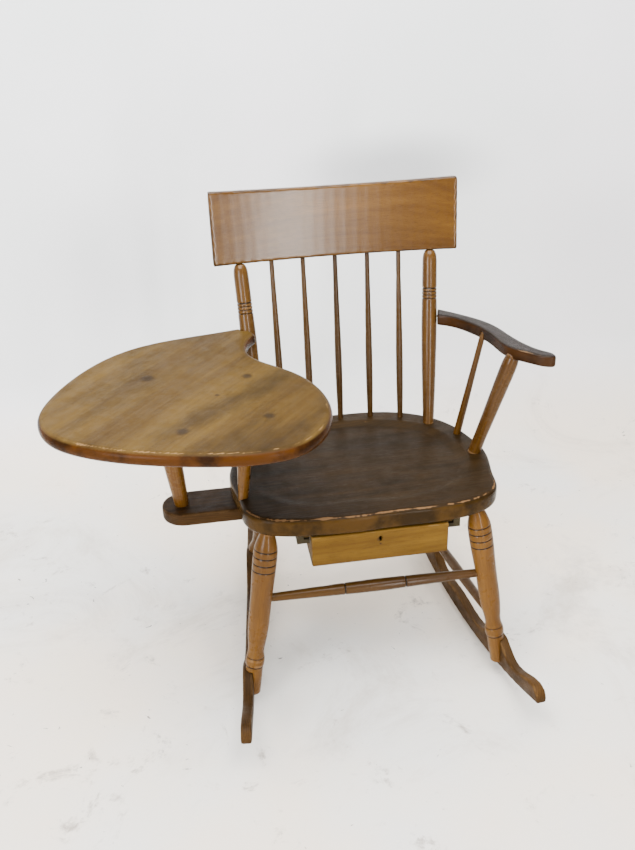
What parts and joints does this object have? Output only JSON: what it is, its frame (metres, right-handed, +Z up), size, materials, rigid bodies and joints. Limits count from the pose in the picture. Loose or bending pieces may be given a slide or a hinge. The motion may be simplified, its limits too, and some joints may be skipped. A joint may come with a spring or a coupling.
{
  "type": "tablet-arm rocking chair",
  "caption": "Turned wooden rocking chair with a broad writing tablet on one side, a plain arm on the other and a small locking drawer sliding under the seat.",
  "frame": {"origin": "on the floor, at the middle of the footprint's bounding box", "axes": "+Z up; the sitter faces -Y; the writing tablet is on -X, the sitter's right"},
  "size_m": [0.9188, 0.7966, 0.9027],
  "materials": {
    "seat_wood": "worn dark varnish",
    "crest_wood": "semi-gloss shellac, golden amber",
    "tablet_wood": "worn varnish",
    "arm_wood": "satin varnish",
    "stile_wood": "satin varnish",
    "post_wood": "satin varnish",
    "leg_wood": "satin varnish",
    "rocker_wood": "satin varnish",
    "drawer_front_wood": "satin varnish",
    "drawer_box_wood": "satin varnish",
    "guide_wood": "satin varnish",
    "screw_steel": "dull",
    "lock_steel": "dull",
    "bolt_brass": "dull"
  },
  "bodies": {
    "frame": {"arm_post": "post_wood", "arm_screw": "screw_steel", "arm_spindle": "post_wood", "armrest": "arm_wood", "back_spindle_1": "stile_wood", "back_spindle_2": "stile_wood", "back_spindle_3": "stile_wood", "back_spindle_4": "stile_wood", "back_spindle_5": "stile_wood", "back_stile_arm_side": "stile_wood", "back_stile_tablet_side": "stile_wood", "crest_rail": "crest_wood", "drawer_guide_arm_side": "guide_wood", "drawer_guide_tablet_side": "guide_wood", "front_leg_arm_side": "leg_wood", "front_leg_tablet_side": "leg_wood", "front_stretcher": "leg_wood", "guide_screws": "screw_steel", "outrigger_screws": "screw_steel", "rear_leg_arm_side": "leg_wood", "rear_leg_tablet_side": "leg_wood", "rear_stretcher": "leg_wood", "rocker_arm_side": "rocker_wood", "rocker_screws": "screw_steel", "rocker_tablet_side": "rocker_wood", "seat_plank": "seat_wood", "side_stretcher_arm_side": "leg_wood", "side_stretcher_tablet_side": "leg_wood", "tablet_outrigger": "rocker_wood", "tablet_post_inner": "post_wood", "tablet_post_outer": "post_wood", "tablet_screw": "screw_steel", "tablet_spindle": "post_wood", "writing_tablet": "tablet_wood"},
    "drawer": {"drawer_front": "drawer_front_wood", "drawer_side_arm_side": "drawer_box_wood", "drawer_side_tablet_side": "drawer_box_wood", "drawer_back": "drawer_box_wood", "drawer_bottom": "drawer_box_wood", "drawer_runner_arm_side": "drawer_box_wood", "drawer_runner_tablet_side": "drawer_box_wood", "lock_case": "lock_steel", "lock_screws": "screw_steel"},
    "lock_bolt": {"lock_bolt": "bolt_brass"}
  },
  "joints": [
    {"name": "drawer_slide", "type": "slide", "parent": "frame", "child": "drawer", "axis": [0, -1, 0], "range_m": [0, 0.2]},
    {"name": "lock_bolt_lift", "type": "slide", "parent": "drawer", "child": "lock_bolt", "axis": [0, 0, 1], "range_m": [0, 0.008]}
  ]
}
